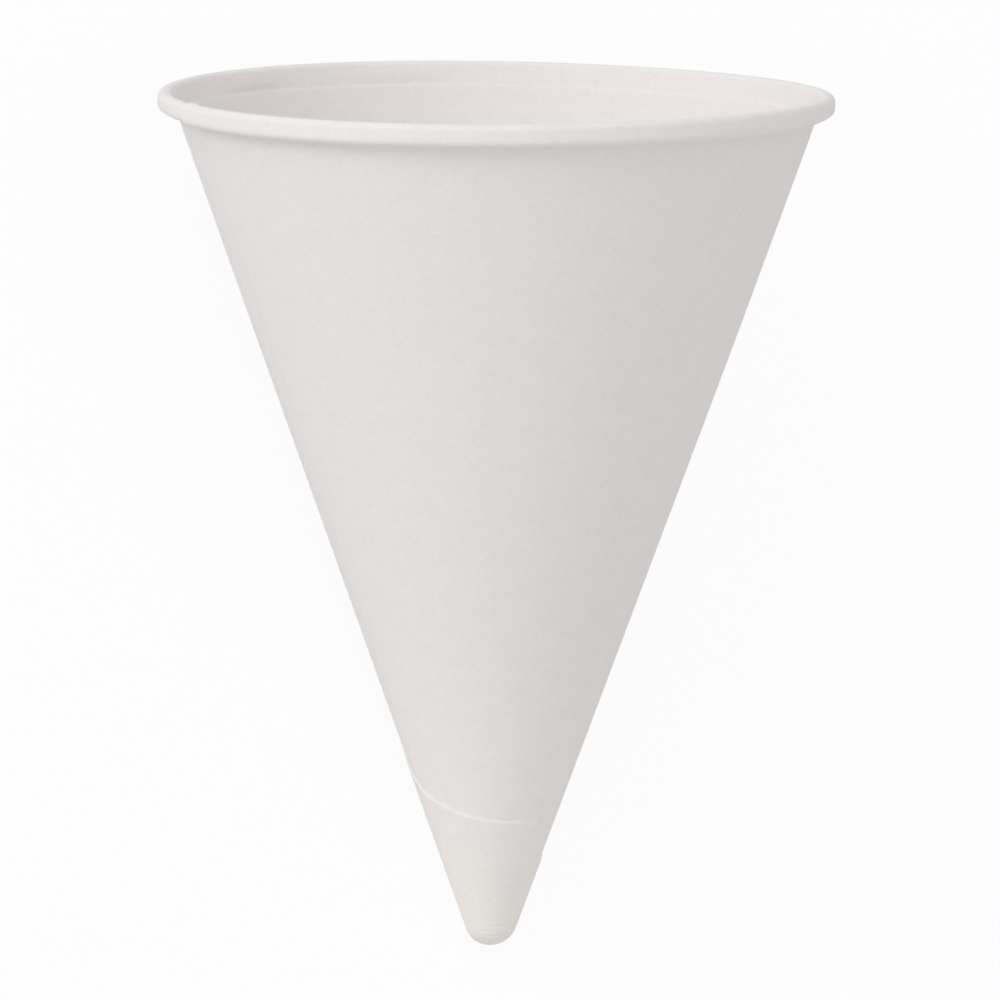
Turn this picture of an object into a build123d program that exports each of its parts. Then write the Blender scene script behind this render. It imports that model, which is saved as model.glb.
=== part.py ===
from build123d import *
import math
import os

# A cone paper cup: one sheet of paper wound up into a cone, with its mouth rolled over.
# Millimetres and degrees. The cup is made mouth up about the Z axis, then laid down.

# Sizes of the finished cup
rim_diameter = 70.0  # across the rolled rim
cup_height = 88.9  # from the tip to the top of the rim
tip_radius = 2.9  # outside of the rounded tip
tip_wall = 0.5  # thickness where the turns are pressed together in the tip
tip_taper = 8.0  # length over which the pressed tip thins out up the wall
fused_length = 0.5  # of the wall above the rounded tip, where no turn can be told apart
paper = 0.15  # thickness of the sheet

# The rolled rim
bead_diameter = 2.15  # thickness of the roll
curl_turn = 276.0  # how far round the sheet is rolled
roll_sides = 12  # short straight sides that the roll's section is drawn in
notch_sides = 10  # of them on which the step of the sheet's inner edge shows
crease_depth = 2.3  # from the top of the rim down to the crease inside the mouth
band_lean = 3.0  # lean of the wall between the crease and the roll

# The winding. Angles and turns are seen from above the mouth, and go from +X towards +Y.
lead_edge = 204.0  # where the inner straight edge of the sheet lies
lap = 318.0  # how far the sheet runs on past that edge at the mouth
ramp_angle = 4.0  # over which the sheet climbs onto its own inner edge

# The tail of the sheet, which is wrapped round the tip. Distances run down the
# sheet from the point of the cone.
tail_start = 27.6  # distance of the outer straight edge's lower end
corner_distance = 19.4
corner_turn = 154.0  # from the outer straight edge to the tail's corner
tail_end_distance = 12.5
tail_end_turn = 68.0  # from the corner to the tail's end

# The cup lies on its side, pressed a little flat where it rests
floor_side = 119.0  # angle about the cup of the side that is down
rest_flat = 0.18  # depth of the flats on the rim and the tip

# Worked out from the sizes above
full_turn = 360.0
outer_edge = full_turn + lap  # turns are counted from the inner straight edge
tail_corner = outer_edge + corner_turn
tail_end = tail_corner + tail_end_turn
turn_count = math.ceil(tail_end / full_turn)
tip_inside = tip_radius - tip_wall

bead_radius = bead_diameter / 2
bead_out = rim_diameter / 2 - bead_radius
bead_up = cup_height - bead_radius

lean = math.radians(band_lean)
crease_up = cup_height - crease_depth
band_top_out = bead_out - bead_radius * math.cos(lean)
band_top_up = bead_up + bead_radius * math.sin(lean)
crease_out = band_top_out - (band_top_up - crease_up) * math.tan(lean)

# The wall leaves the rounded tip on a tangent and meets the crease
tip_to_crease = math.hypot(crease_out, crease_up - tip_radius)
half_angle = math.atan2(crease_out, crease_up - tip_radius) - math.asin(tip_inside / tip_to_crease)
sine, cosine = math.sin(half_angle), math.cos(half_angle)
point_up = crease_up - crease_out / math.tan(half_angle)
tip_top = tip_inside / math.tan(half_angle)  # where the rounded tip ends, down the sheet from the point
turns_start = tip_top + fused_length  # the further turns begin inside the pressed tip
sink = paper / 2  # depth by which each further turn is sunk into the one below, to fuse with it


def around(angle):
    """The upright half plane at an angle about the cup: across is away from the axis."""
    turn = math.radians(angle)
    return Plane(
        origin=(0, 0, 0),
        x_dir=(math.cos(turn), math.sin(turn), 0),
        z_dir=(math.sin(turn), -math.cos(turn), 0),
    )


def on_cone(distance, depth):
    """A place on the wall, depth outward from its inner face."""
    return (
        distance * sine + depth * cosine,
        point_up + distance * cosine - depth * sine,
    )


def face_line(depth, low, high=None, sides=roll_sides):
    """The sheet's inner face, or a line depth outward from it, up the cone from the
    distance low to the distance high, or on round sides of the roll. Gives its ends."""
    if high is not None:
        Line(on_cone(low, depth), on_cone(high, depth))
        return on_cone(low, depth), on_cone(high, depth)
    mitre = depth / math.cos((half_angle - lean) / 2)
    middle = (half_angle + lean) / 2
    crease = (crease_out + mitre * math.cos(middle), crease_up - mitre * math.sin(middle))
    points = [on_cone(low, depth), crease]
    for side in range(sides + 1):
        angle = math.radians(180 - band_lean - curl_turn * side / roll_sides)
        across = (bead_radius - depth) * math.cos(angle)
        up = (bead_radius - depth) * math.sin(angle)
        points.append((bead_out + across, bead_up + up))
    Polyline(*points)
    return points[0], points[-1]


def sheet_section(angle, inner, outer, low, high=None, sides=roll_sides):
    """The sheet cut through at an angle about the cup, between two depths."""
    with BuildSketch(around(angle)) as section:
        with BuildLine():
            inner_start, inner_end = face_line(inner, low, high, sides)
            outer_start, outer_end = face_line(outer, low, high, sides)
            Line(inner_start, outer_start)
            Line(inner_end, outer_end)
        make_face()
    return section.sketch


def edge_distance(turn, start_turn, start_distance, end_turn, end_distance):
    """Distance down the sheet of a straight cut, at a turn, from the two ends of the cut."""
    before = math.radians(turn - start_turn) * sine
    after = math.radians(end_turn - turn) * sine
    whole = start_distance * end_distance * math.sin(before + after)
    return whole / (start_distance * math.sin(before) + end_distance * math.sin(after))


tail_cuts = [
    (outer_edge, tail_start, tail_corner, corner_distance),
    (tail_corner, corner_distance, tail_end, tail_end_distance),
]
cut_margin = 3.0  # turn by which each cut runs on past its ends
cut_step = 12.0  # turn between the sections of a cut
clear = 2 * paper  # by which cutting shapes stand out of the sheet
clear_length = 8.0  # by which uncut layers of the tail reach past its corner
layer_top = max(tail_start, corner_distance, tail_end_distance) + clear_length


def tail_layer(layer):
    """The part of the tail that lies as the sheet's given turn, 1 being the second."""
    first = max(full_turn * layer, outer_edge)
    last = min(full_turn * (layer + 1), tail_end)
    inner, outer = layer * paper - sink, (layer + 1) * paper
    with BuildPart() as tail:
        add(sheet_section(lead_edge + first, inner, outer, turns_start, layer_top))
        revolve(axis=Axis.Z, revolution_arc=last - first)
        ramp = ramp_angle if first == full_turn * layer else 0
        if ramp:
            add(sheet_section(lead_edge, inner, outer, turns_start, layer_top))
            add(sheet_section(lead_edge - ramp, inner, layer * paper, turns_start, layer_top))
            loft(ruled=True)
        for start, start_distance, end, end_distance in tail_cuts:
            low = max(start, first - ramp) - cut_margin
            high = min(end, last) + cut_margin
            if high - low > 2 * cut_margin:
                steps = math.ceil((high - low) / cut_step)
                for step in range(steps + 1):
                    turn = low + (high - low) * step / steps
                    edge = edge_distance(turn, start, start_distance, end, end_distance)
                    angle = lead_edge + turn
                    add(sheet_section(angle, inner - clear, outer + clear, edge, 2 * layer_top))
                loft(mode=Mode.SUBTRACT)
    return tail.part


tails = [tail_layer(layer) for layer in range(math.floor(outer_edge / full_turn), turn_count)]

# The first turn goes all the way round, and the second as far as the outer edge
with BuildPart() as wound_cup:
    with BuildSketch(around(0)):
        with BuildLine():
            inside = CenterArc((0, tip_radius), tip_inside, -90, 90 - math.degrees(half_angle))
            outside = CenterArc((0, tip_radius), tip_radius, -90, 90 - math.degrees(half_angle))
            Line(inside @ 0, outside @ 0)
            Line(outside @ 1, on_cone(tip_top + tip_taper, paper))
            inner_end = face_line(0, tip_top)[1]
            outer_end = face_line(paper, tip_top + tip_taper)[1]
            Line(inner_end, outer_end)
        make_face()
    revolve(axis=Axis.Z)
    add(sheet_section(lead_edge, sink, 2 * paper, turns_start))
    revolve(axis=Axis.Z, revolution_arc=lap)

    # The sheet climbs onto its inner edge
    add(sheet_section(lead_edge, sink, 2 * paper, turns_start))
    add(sheet_section(lead_edge - ramp_angle, sink, paper, turns_start))
    loft(ruled=True)
    for tail in tails:
        add(tail)

    # The inner edge shows as a step inside the cup and on the roll
    add(sheet_section(lead_edge, -clear, paper, turns_start, sides=notch_sides))
    add(sheet_section(lead_edge - ramp_angle, -clear, 0, turns_start, sides=notch_sides))
    loft(ruled=True, mode=Mode.SUBTRACT)

# It lies on its roll and its tip. What would stand below the floor there is the
# paper that is pressed flat.
down = math.radians(floor_side)
roll_to_tip = math.hypot(bead_out, bead_up - tip_radius)
rise = math.atan2(bead_out, bead_up - tip_radius) - math.asin((tip_radius - bead_radius) / roll_to_tip)
front = tip_radius * (math.cos(rise) - 1)
back = bead_up * math.cos(rise) + bead_out * math.sin(rise) + bead_radius
lying = Plane(
    origin=(0, -(front + back) / 2, tip_radius * (1 - math.sin(rise)) - rest_flat),
    x_dir=(math.sin(down), math.cos(down) * math.sin(rise), -math.cos(down) * math.cos(rise)),
    z_dir=(0, math.cos(rise), math.sin(rise)),
)

with BuildPart(lying) as cone_cup:
    add(wound_cup.part)
    split(bisect_by=Plane.XY)

cone_cup.part.label = "cone_cup"
os.makedirs("parts", exist_ok=True)
export_step(cone_cup.part, "parts/cone_cup.step")
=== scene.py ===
import math

import bpy
import numpy as np
from mathutils import Matrix, Vector


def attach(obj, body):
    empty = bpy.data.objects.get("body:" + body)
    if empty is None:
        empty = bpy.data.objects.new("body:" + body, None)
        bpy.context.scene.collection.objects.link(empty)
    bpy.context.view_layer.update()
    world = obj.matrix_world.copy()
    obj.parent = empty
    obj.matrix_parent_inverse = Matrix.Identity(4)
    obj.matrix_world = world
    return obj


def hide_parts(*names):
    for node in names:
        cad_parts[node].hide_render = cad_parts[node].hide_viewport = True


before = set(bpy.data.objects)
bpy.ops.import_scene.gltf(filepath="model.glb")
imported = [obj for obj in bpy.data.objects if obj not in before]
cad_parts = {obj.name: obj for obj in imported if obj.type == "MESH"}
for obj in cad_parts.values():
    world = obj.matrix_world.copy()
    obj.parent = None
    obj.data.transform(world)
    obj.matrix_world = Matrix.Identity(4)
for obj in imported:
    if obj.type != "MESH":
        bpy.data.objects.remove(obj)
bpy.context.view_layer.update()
print("frame loaded")

# A cone paper cup, wound from one sheet, with its mouth rolled over.
# Sizes are in millimetres and degrees unless a note says otherwise.
mm = 0.001

# How the cup lies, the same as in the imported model: it rests on its roll and its tip
lie = {
    "tipUp": 1.698,       # height of the bottom of the tip on the cup's axis
    "tipAlong": -47.518,  # where that point is along Y
    "rise": 20.632,       # lean of the axis above the floor
    "floorSide": 119.0,   # angle about the cup of the side that is down
    "flatReach": 0.30,    # height up to which the paper is squeezed where it rests
}

# Angles go about the cup's axis. Turns are counted along the sheet from its inner straight
# edge, 360 for each time round. Distances run down the sheet from the point of the cone,
# and shares of the roll from where the wall meets it to the sheet's curled-under end.
cup = {
    "rimRadius": 34.86,
    "height": 88.67,
    "tipRadius": 2.9,
    "tipWall": 0.5,
    "paper": 0.15,
    "gap": 0.012,         # air between two turns

    # The roll, an upright oval that the wall runs up into
    "rollWidth": 1.58,
    "rollHeight": 2.3,
    "roundness": 2.4,     # of the oval's ends: 2 is a circle and more is squarer
    "squareOver": 0.8,    # radians from the wall over which the circle becomes squarer
    "underCurl": 150.0,   # how far round its lower end the sheet is rolled
    "warp": 0.17,         # how far the rim is bent up and down, twice round the cup
    "warpFrom": 70.0,     # distance at which the bend begins, and how much further it is whole
    "warpOver": 25.0,
    "nips": ((190.0, 15.0, 0.40), (355.0, 16.0, 0.28)),  # less tall: angle, width, how much
    "nipFrom": 0.35,      # shares of the roll over which its lower end is lifted for that
    "nipOver": 0.25,

    # The band inside the mouth, from a pressed crease up to the roll
    "creaseBelow": 1.85,  # from the roll down to the crease
    "ridge": 0.06,        # height of the ridge just under the crease
    "ridgeSteep": 0.32,   # how far below the crease it is highest
    "ridgeSlope": 2.0,    # how much further down it is gone
    "pleats": (151.5, 129.5, 116.6, 99.7),  # angles at which the band is folded
    "pleatDepth": 0.08,
    "pleatWidth": 0.6,
    "flatness": 0.50,     # how flat the band is between two pleats, 1 is quite flat
    "bandOver": 0.8,      # from the crease up to where the folds are whole
    "bandEnd": 0.10,      # shares of the roll over which they end
    "bandFade": 0.12,

    # The winding
    "leadEdge": 204.0,    # angle at which the inner straight edge lies
    "rampAngle": 4.0,     # over which the sheet climbs onto that edge
    "rampAtRim": 1.6,     # the same at the rim, where it is pressed closer
    "rampNarrows": 8.0,   # how far below the roll that begins
    "outerEdge": 678.0,   # turn of the outer straight edge
    "lip": 0.15,          # how far the inner straight edge stands proud on the roll
    "lipTurn": 3.5,       # over how much turn it sinks back
    "dip": 0.08,          # how far the roll is pressed in just before that edge
    "dipTurn": 357.5,     # where it is deepest, and its width
    "dipWidth": 2.5,
    "lipFade": 0.15,      # share of the roll over which lip and dip begin

    # The tail, which is wrapped round the tip and cut by two straight cuts
    "tailStart": 27.6,    # distance of the first cut's beginning, at the outer edge
    "tailCorner": 832.0,  # turn and distance of the corner
    "cornerDistance": 19.4,
    "tailEnd": 900.0,     # turn and distance of the end
    "endDistance": 12.5,
    "bevel": 0.24,        # length over which it is pressed thin towards its cut
    "thinned": 0.09,      # how much thinner it is there
    "sunk": 0.01,         # how far it is pressed into the turn below
    "bevelTurn": 12.0,    # turn over which the bevel begins, and over which it shows again
    "fadeFrom": 805.0,    # turn from which the cut is pressed away, and over how much
    "fadeOver": 25.0,
    "fadeTo": 854.0,      # turn from which it shows again
    "fadeLonger": 2.0,    # how much longer and deeper the bevel is where it is pressed away
    "fadeDeeper": 0.45,

    # Waves of the wall: height, number round the cup, and start and drift in radians
    "waves": ((0.10, 2, 0.7, 1.5), (0.05, 3, -1.1, 4.0)),
    "wavesTo": 0.7,       # share of the wall up to which they reach, and over how much they end
    "wavesFade": 0.28,

    # Creases: angle, its half width, distance from the top of the rounded tip, width, depth
    "tipCreases": (
        (296.0, 28.0, 0.55, 0.19, 0.045),
        (256.0, 13.0, 0.05, 0.13, 0.035),
        (282.0, 40.0, -0.50, 0.14, 0.040),
        (265.0, 30.0, -0.95, 0.15, 0.040),
        (20.0, 25.0, 0.30, 0.14, 0.035),
        (130.0, 35.0, -0.40, 0.14, 0.040),
    ),
    # The same higher up, with the distance from the point of the cone
    "tailCreases": (
        (243.0, 7.0, 18.0, 0.20, 0.012),
        (246.0, 6.0, 15.8, 0.20, 0.010),
    ),
    "creaseFade": 0.2,    # how fast a crease dies out across itself

    # The pressed point that closes the tip
    "buttonReach": 30.0,  # angle from the axis out to its edge
    "buttonStep": 7.5,    # between two of its columns
    "buttonClear": 0.02,  # how much smaller its two radii are than the tip's
    "buttonOuter": 0.07,  # how far its outer and its inner face close up at the edge
    "buttonInner": 0.05,
    "buttonFold": 0.02,   # depth of its small folds
    "buttonFolds": 5,
    "buttonTwist": 8.0,   # radians that they turn for each radian from the axis

    # Where the paper looks otherwise
    "facesApart": 50.0,   # between the patterns of the sheet's two faces
    "edgeWhiteAndHighlight": 0.7,      # how white the inner straight edge is, partly the paper's whiter cut and partly a painted highlight, and over how much turn
    "edgeTurn": 0.8,
    "cutWhiteAndHighlight": 0.35,      # how white the tail's cut is, partly the paper's whiter cut and partly a painted highlight, and how far from it
    "cutReach": 0.2,
    "cutFaint": 0.4,      # share of that at the outer edge
    "cutFrom": 710.0,     # turn from which it grows to all of it, and over how much
    "cutOver": 60.0,
    "warmFrom": 45.0,     # distance at which the paper begins to look lighter and warmer, and over how much
    "warmOver": 36.0,

    # The mesh: the turn between two columns, and where more columns and rows stand
    "step": 3.0,
    "fineStep": 0.5,      # the same on a ramp
    "leadColumns": (0.4, 0.8, 1.4, 2.1),
    "pleatColumns": (-0.8, -0.4, 0.0, 0.4, 0.8),
    "cornerColumns": (-1.5, 0.0, 1.5),
    "endColumns": (-4.0, -2.7, -1.4, 0.0),
    "cutRows": (-0.6, -0.4, -0.3, -0.2, -0.1, 0.0),
}


def smooth(x):
    # 3x^2 - 2x^3 between 0 and 1, flat outside
    x = np.clip(x, 0.0, 1.0)
    return x * x * (3 - 2 * x)


def bump(x, width):
    # exp(-(x / width)^2), a soft bell of height 1
    return np.exp(-(x / width) ** 2)


def away(angle, where):
    # The angle from a place, the shorter way round
    return (angle - where + 180) % 360 - 180


def inOrder(*places):
    # All the places once, from low to high
    return np.unique(np.round(np.concatenate(places), 5))


# Worked out from the sizes: the middles of the oval's two ends, half the cone's angle, the
# cone's point, and the distances at which the rounded tip, the wall and the crease end
rollRadius = cup["rollWidth"] / 2
rollOut = cup["rimRadius"] - rollRadius
rollTopUp = cup["height"] - rollRadius
rollLowUp = cup["height"] - cup["rollHeight"] + rollRadius
tipInside = cup["tipRadius"] - cup["tipWall"]
tipToRoll = math.hypot(rollOut, rollTopUp - cup["tipRadius"])
half = (
    math.atan2(rollOut, rollTopUp - cup["tipRadius"])
    - math.asin((tipInside + rollRadius) / tipToRoll)
)
sine, cosine = math.sin(half), math.cos(half)
pointUp = cup["tipRadius"] - tipInside / sine
tipTop = tipInside / math.tan(half)
wallTop = (rollOut - rollRadius * cosine) / sine
creaseAt = wallTop - cup["creaseBelow"]


def ovalEnd(a, middleUp):
    # An end of the oval: r = R / (|cos a|^n + |sin a|^n)^(1 / n) about its middle, where n
    # is 2, a circle, at the wall and soon a little more
    n = 2 + (cup["roundness"] - 2) * smooth((math.pi - half - a) / cup["squareOver"])
    r = rollRadius / (abs(np.cos(a)) ** n + abs(np.sin(a)) ** n) ** (1 / n)
    return np.stack([rollOut + r * np.cos(a), middleUp + r * np.sin(a)], -1)


def profileLine():
    # The line that the sheet's inner face follows in a half plane through the axis: an arc
    # round the tip, (r sin a, tip - r cos a), a straight wall at distance s, (s sin h, point +
    # s cos h), and the oval roll, each on a tangent to the one before. Gives rows of across,
    # up, normal across, normal up and distance, which on the roll runs on by 1. They are
    # closer together in the tip, at the tail's cut, at the crease and on the roll.
    tailStart = cup["tailStart"]
    tipArc = [np.linspace(14, 28, 5)[:-1], np.linspace(28, 90 - math.degrees(half), 26)[:-1]]
    a = np.radians(np.concatenate(tipArc))
    tip = np.stack([
        tipInside * np.sin(a), cup["tipRadius"] - tipInside * np.cos(a),
        tipTop - tipInside * (math.pi / 2 - half - a),
    ], -1)
    s = inOrder(
        np.linspace(tipTop, tipTop + 1.4, 19),
        np.linspace(tipTop + 1.4, tailStart - 1.0, 21),
        tailStart + np.array(cup["cutRows"]),
        np.linspace(tailStart + 2, creaseAt - 2.8, 14),
        np.linspace(creaseAt - 2.4, creaseAt - 0.8, 7),
        np.linspace(creaseAt - 0.6, creaseAt, 8),
        np.linspace(creaseAt + 0.2, wallTop, 5),
    )
    rows = np.concatenate([tip, np.stack([s * sine, pointUp + s * cosine, s], -1)])

    sideUp = rollTopUp + (rollLowUp - rollTopUp) * np.array([1, 2]) / 3
    roll = np.concatenate([
        ovalEnd(np.linspace(math.pi - half, 0, 19)[1:], rollTopUp),
        np.stack([np.full(2, cup["rimRadius"]), sideUp], -1),
        ovalEnd(np.linspace(0, -math.radians(cup["underCurl"]), 13), rollLowUp),
    ])
    way = np.cumsum(np.hypot(*np.diff(roll, axis=0, prepend=rows[-1:, :2]).T))
    rows = np.concatenate([rows, np.column_stack([roll, wallTop + way / way[-1]])])
    step = np.gradient(rows[:, :2], axis=0)
    step /= np.hypot(step[:, 0], step[:, 1])[:, None]
    return np.column_stack([rows[:, :2], step[:, 1], -step[:, 0], rows[:, 2]])


def straightCut(turn, startTurn, a, endTurn, b):
    # A straight line on the flat sheet between two ends given by turn and distance. In polar
    # form r = a b sin(p + q) / (a sin p + b sin q), p and q the flat angles to the ends.
    p = np.radians(turn - startTurn) * sine
    q = np.radians(endTurn - turn) * sine
    return a * b * np.sin(p + q) / (a * np.sin(p) + b * np.sin(q))


def tailEdge(turn):
    # Distance of the tail's cut: one straight cut to the corner and one on to the end
    corner, cornerDistance = cup["tailCorner"], cup["cornerDistance"]
    first = straightCut(turn, cup["outerEdge"], cup["tailStart"], corner, cornerDistance)
    second = straightCut(turn, corner, cornerDistance, cup["tailEnd"], cup["endDistance"])
    return np.where(turn < corner, first, second)


def layersBelow(turn, ramp):
    # How many turns of the sheet lie under this one: each full turn ends in a short ramp
    return smooth((turn - 360 + ramp) / ramp) + smooth((turn - 720 + ramp) / ramp)


def dent(angle, down):
    # How far the paper stands off the true cone: waves h sin(n a + start + drift k), k the
    # share of the wall, that fade out below the roll; creases across the tip, each a valley
    # beside a ridge, depth * x * exp(0.5 - x^2), a little sunk; and the ridge under the band
    k = np.clip(down / wallTop, 0, 1)
    height = 0
    for high, count, start, drift in cup["waves"]:
        height = height + high * np.sin(count * np.radians(angle) + start + drift * k)
    height = height * k * (1 - smooth((k - cup["wavesTo"]) / cup["wavesFade"]))
    fromTop = [(crease, tipTop) for crease in cup["tipCreases"]]
    fromPoint = [(crease, 0) for crease in cup["tailCreases"]]
    for (where, reach, place, width, depth), start in fromTop + fromPoint:
        x = (down - start - place) / width
        fold = (x * np.exp(0.5 - x * x) - 0.5) * np.exp(-cup["creaseFade"] * x * x)
        height = height + depth * fold * bump(away(angle, where), reach)
    below = creaseAt - down
    slope = 1 - smooth((below - cup["ridgeSteep"]) / cup["ridgeSlope"])
    return height - cup["ridge"] * smooth(below / cup["ridgeSteep"]) * slope


def crimp(angle, down):
    # How far the band moves away from the axis. Between two pleats it is drawn flat, like the
    # side of a polygon, by flatness * R / 2 * (h^2 - x^2), x the angle from the middle of the
    # side and h half of it, in radians. Each pleat itself is a low fold.
    pleats = cup["pleats"]
    shift = np.zeros(np.broadcast(angle, down).shape)
    for high, low in zip(pleats[:-1], pleats[1:]):
        h = math.radians(high - low) / 2
        x = np.radians(away(angle, (high + low) / 2))
        shift -= cup["flatness"] * rollOut / 2 * np.clip(h * h - x * x, 0, None)
    for place in pleats:
        shift -= cup["pleatDepth"] * bump(away(angle, place), cup["pleatWidth"])
    begins = smooth((down - creaseAt) / cup["bandOver"])
    ends = smooth((down - wallTop - cup["bandEnd"]) / cup["bandFade"])
    return shift * begins * (1 - ends)


def columns():
    # Turns at which the sheet and its tail have columns of points: every step, and closer at
    # the inner edge, on the ramps, at the pleats, and at the tail's corner and end
    outerEdge, tailEnd, fine = cup["outerEdge"], cup["tailEnd"], cup["fineStep"]
    rampStart = -cup["rampAngle"] - fine
    pleatTurns = np.add.outer(np.array(cup["pleats"]) - cup["leadEdge"], [360, 720])
    sheet = inOrder(
        np.arange(0, outerEdge, cup["step"]),
        cup["leadColumns"],
        [outerEdge - 1, outerEdge],
        np.arange(360 + rampStart, 361, fine),
        np.add.outer(pleatTurns, cup["pleatColumns"]).ravel(),
    )
    tail = inOrder(
        np.arange(outerEdge, tailEnd, cup["step"]),
        np.arange(720 + rampStart, 721, fine),
        cup["tailCorner"] + np.array(cup["cornerColumns"]),
        tailEnd + np.array(cup["endColumns"]),
    )
    return sheet, tail[1:]


def tailStations(line, cutAt):
    # The rows of the tail for each turn. The top millimetre below the cut keeps its rows, and
    # the wall under it is drawn together to fit between the cut and the rounded tip.
    below = cup["tailStart"] - line[:, 4]
    squeeze = (cutAt[:, None] - tipTop - 1) / (cup["tailStart"] - tipTop - 1)
    down = cutAt[:, None] - np.where(below < 1, below, 1 + (below - 1) * squeeze)
    onWall = np.stack([
        down * sine, pointUp + down * cosine,
        np.full_like(down, cosine), np.full_like(down, -sine), down,
    ], -1)
    return np.where(line[:, 4, None] > tipTop, onWall, line)


def place(turns, grid, off):
    # point = line + (off + dent) * normal, moved across by the crimp, down by warp * sin(2 a)
    # near the rim and up by the nips under it, and swung about the axis by the angle a
    down = grid[..., 4]
    angle = (cup["leadEdge"] + turns)[:, None] + 0 * down
    off = off + dent(angle, down)
    across = grid[..., 0] + off * grid[..., 2] + crimp(angle, down)
    a = np.radians(angle)
    bend = cup["warp"] * np.sin(2 * a) * smooth((down - cup["warpFrom"]) / cup["warpOver"])
    up = grid[..., 1] + off * grid[..., 3] - bend
    underside = smooth((down - wallTop - cup["nipFrom"]) / cup["nipOver"])
    for where, reach, nip in cup["nips"]:
        up = up + nip * bump(away(angle, where), reach) * underside
    return np.stack([across * np.cos(a), across * np.sin(a), up], -1).reshape(-1, 3)


def quads(ids):
    # The four-sided faces between a grid's neighbouring points
    return np.stack([ids[:-1, :-1], ids[1:, :-1], ids[1:, 1:], ids[:-1, 1:]], -1).reshape(-1, 4)


def paperCup():
    # The sheet: two faces, each a grid of turns by distances, one paper apart and a layer
    # further out for each turn that lies below, joined round the sheet's cut edge
    line = profileLine()
    tailRows = int((line[:, 4] <= cup["tailStart"] + 1e-9).sum())
    sheetTurns, tailTurns = columns()
    cutAt = tailEdge(tailTurns)
    sheetGrid = np.repeat(line[None], len(sheetTurns), 0)
    tailGrid = tailStations(line[:tailRows], cutAt)
    sheetWay, tailWay = sheetGrid[..., 4], tailGrid[..., 4]
    tailTurn = tailTurns[:, None]

    pitch = cup["paper"] + cup["gap"]
    narrows = smooth((wallTop - line[:, 4]) / cup["rampNarrows"])
    ramp = cup["rampAtRim"] + (cup["rampAngle"] - cup["rampAtRim"]) * narrows
    sheetDepth = layersBelow(sheetTurns[:, None], ramp) * pitch
    tailDepth = layersBelow(tailTurn, cup["rampAngle"]) * pitch

    # The tail is pressed down and thinned towards its cut, so that the cut catches the light
    toEnd = (cup["tailEnd"] - tailTurn) * sine * math.pi / 180 * tailWay
    toEdge = np.minimum(cutAt[:, None] - tailWay, toEnd)
    begun = smooth((tailTurn - cup["outerEdge"]) / cup["bevelTurn"])
    faded = smooth((tailTurn - cup["fadeFrom"]) / cup["fadeOver"])
    faded = faded * (1 - smooth((tailTurn - cup["fadeTo"]) / cup["bevelTurn"]))
    nearCut = 1 - smooth(toEdge / (cup["bevel"] * (1 + cup["fadeLonger"] * faded)))
    pressed = nearCut * begun * (1 + cup["fadeDeeper"] * faded)

    # The inner straight edge stands a little proud on the roll
    lip = cup["lip"] * (1 - smooth(sheetTurns / cup["lipTurn"]))
    lip = lip - cup["dip"] * bump(sheetTurns - cup["dipTurn"], cup["dipWidth"])
    lip = lip[:, None] * smooth((sheetWay - wallTop) / cup["lipFade"])

    sides = []
    for depth, press in ((0.0, cup["gap"] + cup["sunk"]), (cup["paper"], cup["thinned"])):
        sides.append(place(sheetTurns, sheetGrid, sheetDepth + depth - lip))
        sides.append(place(tailTurns, tailGrid, tailDepth + depth - press * pressed))
    points = np.concatenate(sides)
    count = len(points) // 2

    ids = np.arange(count)
    sheetIds = ids[:sheetWay.size].reshape(sheetWay.shape)
    tailIds = ids[sheetWay.size:].reshape(tailWay.shape)
    tailIds = np.concatenate([sheetIds[-1:, :tailRows], tailIds])
    inside = np.concatenate([quads(sheetIds), quads(tailIds)])
    outline = np.concatenate([
        sheetIds[0, :-1], sheetIds[:-1, -1], sheetIds[-1, :tailRows - 1:-1],
        tailIds[:-1, -1], tailIds[-1, :0:-1], tailIds[:0:-1, 0], sheetIds[:0:-1, 0],
    ])
    after = np.roll(outline, -1)
    cutFaces = np.stack([outline, outline + count, after + count, after], -1)
    faces = np.concatenate([inside[:, ::-1], inside + count, cutFaces])
    rimOfFace = np.stack([outline, after], -1)
    sharp = np.concatenate([rimOfFace, rimOfFace + count])
    shows = begun * (1 - faded)
    return points, faces, sharp, paperMarks(line, sheetTurns, tailTurn, tailWay, toEdge, shows)


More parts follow.
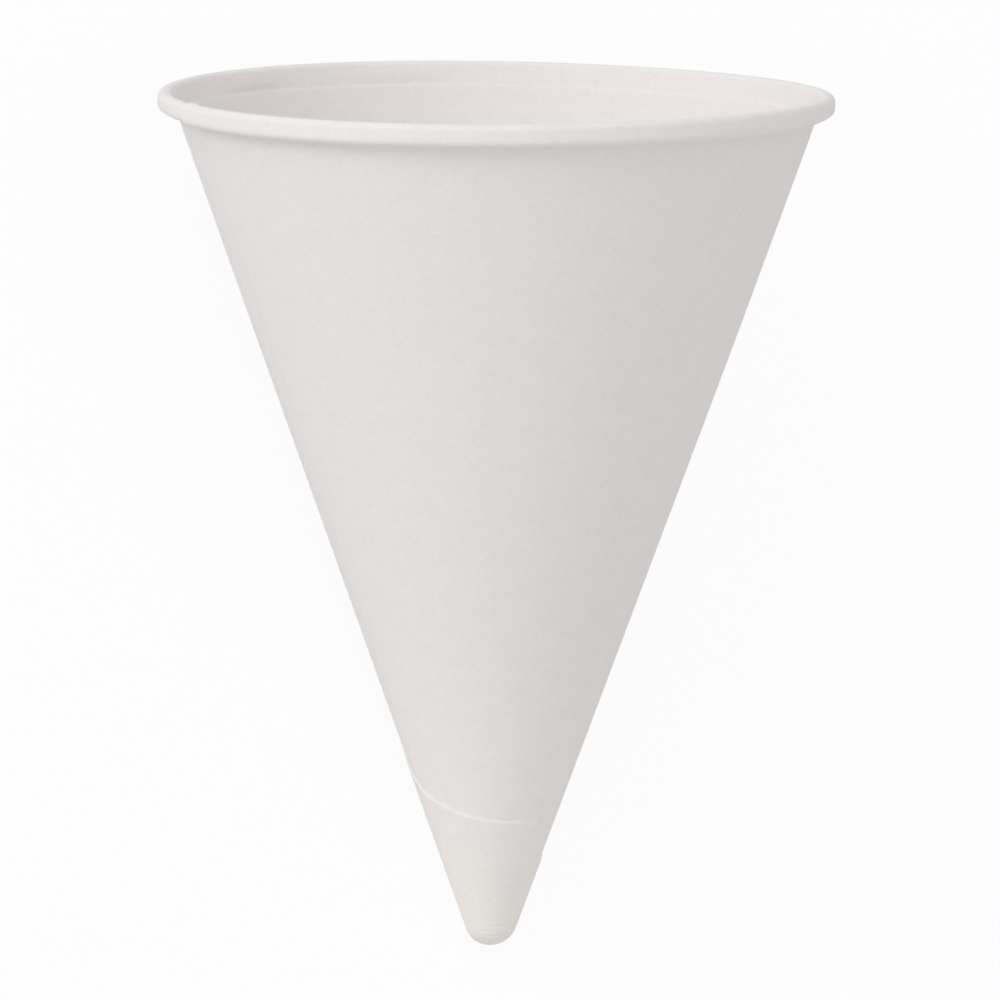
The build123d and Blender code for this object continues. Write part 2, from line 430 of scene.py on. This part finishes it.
def paperMarks(line, sheetTurns, tailTurn, tailWay, toEdge, shows):
    # What the paper's look needs at each point: where it lies on the flat sheet, s cos f and
    # s sin f, s the way down the sheet and f the turn laid flat; how near it is to a cut edge
    # that shows, for its whiter cut and the highlight painted along it; and how near it is to
    # the tip, towards which the paper is lighter and warmer
    steps = np.hypot(*np.diff(line[:, :2], axis=0).T)
    path = line[0, 4] + np.concatenate([[0], np.cumsum(steps)])
    sheetWay = path + 0 * sheetTurns[:, None]
    way = np.concatenate([sheetWay.ravel(), tailWay.ravel()])
    flat = np.concatenate([
        (sheetTurns[:, None] + 0 * sheetWay).ravel(), (tailTurn + 0 * tailWay).ravel(),
    ])
    flat = np.radians(flat) * sine
    sheet = np.stack([way * np.cos(flat), way * np.sin(flat), 0 * way], -1)

    # Whiter along the inner straight edge, partly its cut and partly a painted highlight; the
    # curled-under end of the roll is a cut too
    sheetCutAndHighlight = cup["edgeWhiteAndHighlight"] * (1 - smooth(sheetTurns / cup["edgeTurn"]))[:, None] + 0 * sheetWay
    sheetCutAndHighlight[:, -1] = 1
    # The tail's cut is whiter in the same way, partly a painted highlight, where it shows
    grown = smooth((tailTurn - cup["cutFrom"]) / cup["cutOver"])
    tailCutAndHighlight = cup["cutWhiteAndHighlight"] * (cup["cutFaint"] + (1 - cup["cutFaint"]) * grown)
    tailCutAndHighlight = tailCutAndHighlight * (1 - smooth(toEdge / cup["cutReach"])) * shows
    cut = np.concatenate([sheetCutAndHighlight.ravel(), tailCutAndHighlight.ravel()])
    warm = smooth((cup["warmFrom"] - way) / cup["warmOver"])
    return {
        "sheet": np.concatenate([sheet, sheet + [0, 0, cup["facesApart"]]]) * mm,
        "cut": np.concatenate([cut, cut]),
        # how near the tip: the paper is lighter, warmer and smoother there
        "pressed": np.concatenate([warm, warm]),
    }


def tipButton():
    # The pressed point that closes the tip: a lens between two spheres on a grid of angle
    # round and angle a from the axis, (r sin a, tip - r cos a), with small folds f sin(5 t + 8 a)
    # taken off r sin a, and a pole at each end
    around = np.radians(np.arange(0, 360, cup["buttonStep"]))
    reach = np.radians(cup["buttonReach"])
    low = np.linspace(0, reach, 9)[1:]
    outer = cup["tipRadius"] - cup["buttonClear"]
    inner = tipInside - cup["buttonClear"]
    a = np.concatenate([low, low[::-1]])[:, None]
    r = np.concatenate([
        outer - cup["buttonOuter"] * (low / reach) ** 2,
        inner + cup["buttonInner"] * (low[::-1] / reach) ** 2,
    ])[:, None]
    wave = np.sin(cup["buttonFolds"] * around + cup["buttonTwist"] * a)
    across = (r - abs(cup["buttonFold"] * wave * (a / reach))) * np.sin(a)
    up = cup["tipRadius"] - r * np.cos(a) + 0 * across
    rings = np.stack([across * np.cos(around), across * np.sin(around), up], -1)
    poles = np.array([[0, 0, cup["tipRadius"] - outer], [0, 0, cup["tipRadius"] - inner]])
    points = np.concatenate([poles[:1], rings.reshape(-1, 3), poles[1:]])

    ring = 1 + np.arange(up.size).reshape(up.shape)
    beside = np.roll(ring, -1, 1)
    body = np.stack([ring[:-1], ring[1:], beside[1:], beside[:-1]], -1).reshape(-1, 4)
    first = np.stack([0 * ring[0], ring[0], beside[0]], -1)
    last = np.stack([0 * ring[-1] + len(points) - 1, beside[-1], ring[-1]], -1)
    marks = {"sheet": points * mm, "cut": np.zeros(len(points)), "pressed": np.ones(len(points))}
    return points, body.tolist() + first.tolist() + last.tolist(), marks


def lyingAxes():
    # The cup's own three directions as it lies: x and y across it and z up it, from the lean
    # of the axis and the side that is down
    down, rise = math.radians(lie["floorSide"]), math.radians(lie["rise"])
    xDir = np.array([
        math.sin(down), math.cos(down) * math.sin(rise), -math.cos(down) * math.cos(rise),
    ])
    zDir = np.array([0, math.cos(rise), math.sin(rise)])
    return np.array([xDir, np.cross(zDir, xDir), zDir])


def layDown(points):
    # From the cup's own axes to the floor: x, y, z times the three directions it lies in. Then
    # the lowest paper is squeezed flat by z = reach * ((z + give) / (reach + give)) ^ p, where
    # p = (reach + give) / reach and give is how far it would stand below the floor.
    world = points @ lyingAxes() + np.array([0, lie["tipAlong"], lie["tipUp"]])
    z, reach = world[:, 2], lie["flatReach"]
    give = -z.min()
    squeezed = reach * np.clip((z + give) / (reach + give), 0, 1) ** ((reach + give) / reach)
    world[:, 2] = np.where(z < reach, squeezed, z)
    return world


def makeMesh(name, points, faces, sharp, marks):
    # One piece from its points in millimetres, its faces, its sharp edges and its marks
    mesh = bpy.data.meshes.new(name)
    mesh.from_pydata((points * mm).tolist(), [], faces)
    mesh.polygons.foreach_set("use_smooth", np.ones(len(mesh.polygons), bool))
    ends = np.zeros(len(mesh.edges) * 2, np.int64)
    mesh.edges.foreach_get("vertices", ends)
    ends = np.sort(ends.reshape(-1, 2), 1) @ [len(points), 1]
    wanted = np.sort(sharp, 1) @ [len(points), 1]
    mesh.edges.foreach_set("use_edge_sharp", np.isin(ends, wanted))
    for markName, values in marks.items():
        single = values.ndim == 1
        mark = mesh.attributes.new(markName, "FLOAT" if single else "FLOAT_VECTOR", "POINT")
        values = values.astype(np.float32).ravel()
        mark.data.foreach_set("value" if single else "vector", values)
    mesh.update()
    made = bpy.data.objects.new(name, mesh)
    bpy.context.scene.collection.objects.link(made)
    return made


sheetPoints, sheetFaces, sheetSharp, sheetMarks = paperCup()
buttonPoints, buttonFaces, buttonMarks = tipButton()
cupPiece = makeMesh(
    "paperCup",
    layDown(np.concatenate([sheetPoints, buttonPoints])),
    sheetFaces.tolist() + [[i + len(sheetPoints) for i in face] for face in buttonFaces],
    sheetSharp,
    {name: np.concatenate([sheetMarks[name], buttonMarks[name]]) for name in sheetMarks},
)
print("cup made:", len(cupPiece.data.polygons), "faces")


class Link:
    # A value on its way through a material. Arithmetic on it adds Math nodes.
    def __init__(self, tree, socket=None):
        self.tree = tree
        self.socket = socket

    def node(self, kind, settings=None, inputs=None, out=0):
        # A new node of a kind, with its settings, then the values or links of its inputs
        made = self.tree.nodes.new(kind)
        for name, value in (settings or {}).items():
            if name == "stops":
                ramp = made.color_ramp.elements
                while len(ramp) < len(value):
                    ramp.new(0.5)
                for element, (where, colour) in zip(ramp, value):
                    element.position = where
                    element.color = colour
            else:
                setattr(made, name, value)
        for name, value in (inputs or {}).items():
            if isinstance(value, Link):
                self.tree.links.new(value.socket, made.inputs[name])
            else:
                made.inputs[name].default_value = value
        return Link(self.tree, made.outputs[out] if len(made.outputs) else None)

    def math(self, operation, a, b):
        return self.node("ShaderNodeMath", {"operation": operation}, {0: a, 1: b})

    def __add__(self, other): return self.math("ADD", self, other)
    def __radd__(self, other): return self.math("ADD", other, self)
    def __sub__(self, other): return self.math("SUBTRACT", self, other)
    def __rsub__(self, other): return self.math("SUBTRACT", other, self)
    def __mul__(self, other): return self.math("MULTIPLY", self, other)
    def __rmul__(self, other): return self.math("MULTIPLY", other, self)


# Scales are per metre. The four shares blend clouds, fibres, specks and flecks into one value
# that goes from the shade colour to the colour between the two ends.
paperLook = {
    "colour": (0.909, 0.876, 0.865, 1),
    "shadeColour": (0.871, 0.835, 0.824, 1),
    "shadeAt": 0.38,
    "colourAt": 0.60,
    "tipTint": (1.048, 1.040, 1.012, 1),  # lighter and warmer towards the tip
    # whiter at a cut, with a painted highlight in it
    "cutAndHighlightColour": (0.930, 0.912, 0.905, 1),
    "cloudScale": 380.0,   # soft clouds, the formation of the sheet
    "cloudDetail": 3.0,
    "cloudRough": 0.55,
    "cloudShare": 0.25,
    "fibreScale": 1900.0,
    "fibreDetail": 4.0,
    "fibreRough": 0.65,
    "fibreDraw": 0.75,     # less than 1 draws the fibres out along the sheet
    "fibreShare": 0.45,
    "speckScale": 2000.0,
    "speckDetail": 1.0,
    "speckRough": 0.5,
    "speckShare": 0.30,
    "fleckScale": 950.0,
    "fleckSize": 0.17,
    "fleckShare": 0.10,
    "roughness": 0.80,
    "roughFibres": 0.2,    # how much the fibres change the roughness
    "roughPressed": 0.08,  # how much smoother it is where the layers are pressed together
    "specular": 0.22,
    "bumpDistance": 0.000016,  # metres
    "bumpStrength": 0.6,
    "bumpFibres": 0.7,     # share of the fibres in the bump, the rest is clouds
}


def newTree(owner):
    # The empty node tree of a material or a world
    owner.use_nodes = True
    owner.node_tree.nodes.clear()
    return Link(owner.node_tree)


def paperMaterial():
    # Fine fibres drawn out one way along the sheet over soft clouds, with sparse pale flecks;
    # lighter and warmer towards the tip, and whiter at a cut, where a highlight is painted too
    look = paperLook
    material = bpy.data.materials.new("whitePaper")
    graph = newTree(material)
    sheet = graph.node("ShaderNodeAttribute", {"attribute_name": "sheet"}, out=1)
    # where a cut is whiter and a highlight is painted along it
    cut = graph.node("ShaderNodeAttribute", {"attribute_name": "cut"}, out=2)
    pressed = graph.node("ShaderNodeAttribute", {"attribute_name": "pressed"}, out=2)

    def noise(where, name):
        return graph.node("ShaderNodeTexNoise", {}, {
            "Vector": where, "Scale": look[name + "Scale"],
            "Detail": look[name + "Detail"], "Roughness": look[name + "Rough"],
        })

    drawn = graph.node("ShaderNodeVectorMath", {"operation": "MULTIPLY"}, {
        0: sheet, 1: (1.0, look["fibreDraw"], 1.0),
    })
    clouds, fibres, specks = noise(sheet, "cloud"), noise(drawn, "fibre"), noise(sheet, "speck")
    cells = graph.node("ShaderNodeTexVoronoi", {"feature": "F1"}, {
        "Vector": sheet, "Scale": look["fleckScale"], "Randomness": 1.0,
    })
    flecks = graph.node("ShaderNodeMapRange", {"interpolation_type": "SMOOTHSTEP"}, {
        "Value": cells, "From Min": look["fleckSize"], "From Max": 0.0,
        "To Min": 0.0, "To Max": 1.0,
    })
    blend = (
        look["cloudShare"] * clouds + look["fibreShare"] * fibres
        + look["speckShare"] * specks + look["fleckShare"] * flecks
    )
    plain = graph.node("ShaderNodeValToRGB", {"stops": [
        (look["shadeAt"], look["shadeColour"]), (look["colourAt"], look["colour"]),
    ]}, {0: blend})
    # Lighter and warmer towards the tip
    warm = graph.node("ShaderNodeMix", {"data_type": "RGBA", "blend_type": "MULTIPLY"}, {
        0: pressed, 6: plain, 7: look["tipTint"],
    }, out=2)
    # Whiter at a cut, with a painted highlight there
    colour = graph.node("ShaderNodeMix", {"data_type": "RGBA", "blend_type": "MIX"}, {
        0: cut, 6: warm, 7: look["cutAndHighlightColour"],
    }, out=2)
    normal = graph.node("ShaderNodeBump", {}, {
        "Strength": look["bumpStrength"], "Distance": look["bumpDistance"],
        "Height": (1 - look["bumpFibres"]) * clouds + look["bumpFibres"] * fibres,
    })
    rough = look["roughness"] + look["roughFibres"] * (fibres - 0.5)
    shader = graph.node("ShaderNodeBsdfPrincipled", {}, {
        "Base Color": colour, "Roughness": rough - look["roughPressed"] * pressed,
        "Specular IOR Level": look["specular"], "Normal": normal,
    })
    graph.node("ShaderNodeOutputMaterial", {}, {"Surface": shader})
    return material


cupPiece.data.materials.append(paperMaterial())
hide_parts("cone_cup")
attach(cupPiece, "root")
print("paper made")

stage = {
    "floorSize": 12.0,    # metres
    "floorColour": 0.80,
    "white": 0.90,        # share of plain white that the camera sees in the floor
    "skyLight": 0.703,
}


def inView(graph):
    # 1 where the camera sees a surface itself, in gloss or through glass, and 0 for its light
    rays = ("Is Camera Ray", "Is Glossy Ray", "Is Transmission Ray")
    seen, glossy, through = (graph.node("ShaderNodeLightPath", out=ray) for ray in rays)
    return graph.math("MAXIMUM", graph.math("MAXIMUM", seen, glossy), through)


def floorPiece():
    # A level square that looks nearly white and sends back the light of a plain grey floor
    reach = stage["floorSize"] / 2
    corners = [(-reach, -reach, 0), (reach, -reach, 0), (reach, reach, 0), (-reach, reach, 0)]
    mesh = bpy.data.meshes.new("floor")
    mesh.from_pydata(corners, [], [(0, 1, 2, 3)])
    made = bpy.data.objects.new("floor", mesh)
    bpy.context.scene.collection.objects.link(made)
    material = bpy.data.materials.new("paleFloor")
    graph = newTree(material)
    shown = inView(graph)
    tone = stage["floorColour"] + (1 - stage["floorColour"]) * shown
    colour = graph.node("ShaderNodeCombineColor", {}, {"Red": tone, "Green": tone, "Blue": tone})
    plain = graph.node("ShaderNodeBsdfDiffuse", {}, {"Color": colour})
    white = graph.node("ShaderNodeEmission", {}, {"Color": (1, 1, 1, 1), "Strength": 1.0})
    mixed = graph.node("ShaderNodeMixShader", {}, {0: stage["white"] * shown, 1: plain, 2: white})
    graph.node("ShaderNodeOutputMaterial", {}, {"Surface": mixed})
    mesh.materials.append(material)


def sky():
    # Even light from all round, and plain white behind the floor
    world = bpy.data.worlds.new("studio")
    bpy.context.scene.world = world
    graph = newTree(world)
    light, white = (
        graph.node("ShaderNodeBackground", {}, {"Color": (1, 1, 1, 1), "Strength": strength})
        for strength in (stage["skyLight"], 1.0)
    )
    mixed = graph.node("ShaderNodeMixShader", {}, {0: inView(graph), 1: light, 2: white})
    graph.node("ShaderNodeOutputWorld", {}, {"Surface": mixed})


lamps = {
    # name: direction towards the lamp, distance and size across in metres, and power in watts
    "high": ((-0.619, 0.510, 0.598), 2.4, 1.0, 6.5),
    "left": ((-0.858, 0.302, 0.414), 2.4, 1.0, 4.4),
    "lowLeft": ((-0.875, 0.443, 0.195), 2.4, 1.0, 6.7),
}


def addLamps():
    # Soft round lamps that face the middle of the floor
    for name, (towards, distance, size, power) in lamps.items():
        data = bpy.data.lights.new(name, "AREA")
        data.shape = "DISK"
        data.size = size
        data.energy = power
        lamp = bpy.data.objects.new(name, data)
        direction = Vector(towards).normalized()
        lamp.location = direction * distance
        lamp.rotation_euler = direction.to_track_quat("Z", "Y").to_euler()
        bpy.context.scene.collection.objects.link(lamp)


view = {
    "distance": 1600.0,  # from the aimed point
    "above": 6.98,       # how far the camera stands above the cup's mouth plane
    "aimAcross": 0.696,  # the aimed point, across and up the cup
    "aimUp": 46.415,
    "roll": 0.45,
    "lens": 558.3,
    "sensor": 36.0,
    "nearest": 0.01,     # metres
}


def addCamera():
    # The camera looks square at the cup's front, tipped down by the angle above
    xDir, yDir, zDir = (Vector(direction) for direction in lyingAxes())
    above, roll = math.radians(view["above"]), math.radians(view["roll"])
    back = -yDir * math.cos(above) + zDir * math.sin(above)
    upright = yDir * math.sin(above) + zDir * math.cos(above)
    right = xDir * math.cos(roll) + upright * math.sin(roll)
    top = upright * math.cos(roll) - xDir * math.sin(roll)
    tip = Vector((0, lie["tipAlong"], lie["tipUp"]))
    aim = tip + xDir * view["aimAcross"] + zDir * view["aimUp"]
    data = bpy.data.cameras.new("camera")
    data.sensor_fit = "HORIZONTAL"
    data.sensor_width = view["sensor"]
    data.lens = view["lens"]
    data.clip_start = view["nearest"]
    camera = bpy.data.objects.new("camera", data)
    turned = Matrix((right, top, back)).transposed().to_4x4()
    camera.matrix_world = Matrix.Translation((aim + back * view["distance"]) * mm) @ turned
    bpy.context.scene.collection.objects.link(camera)
    bpy.context.scene.camera = camera


floorPiece()
sky()
addLamps()
addCamera()
bpy.context.scene.view_settings.view_transform = "Standard"
print("stage made")
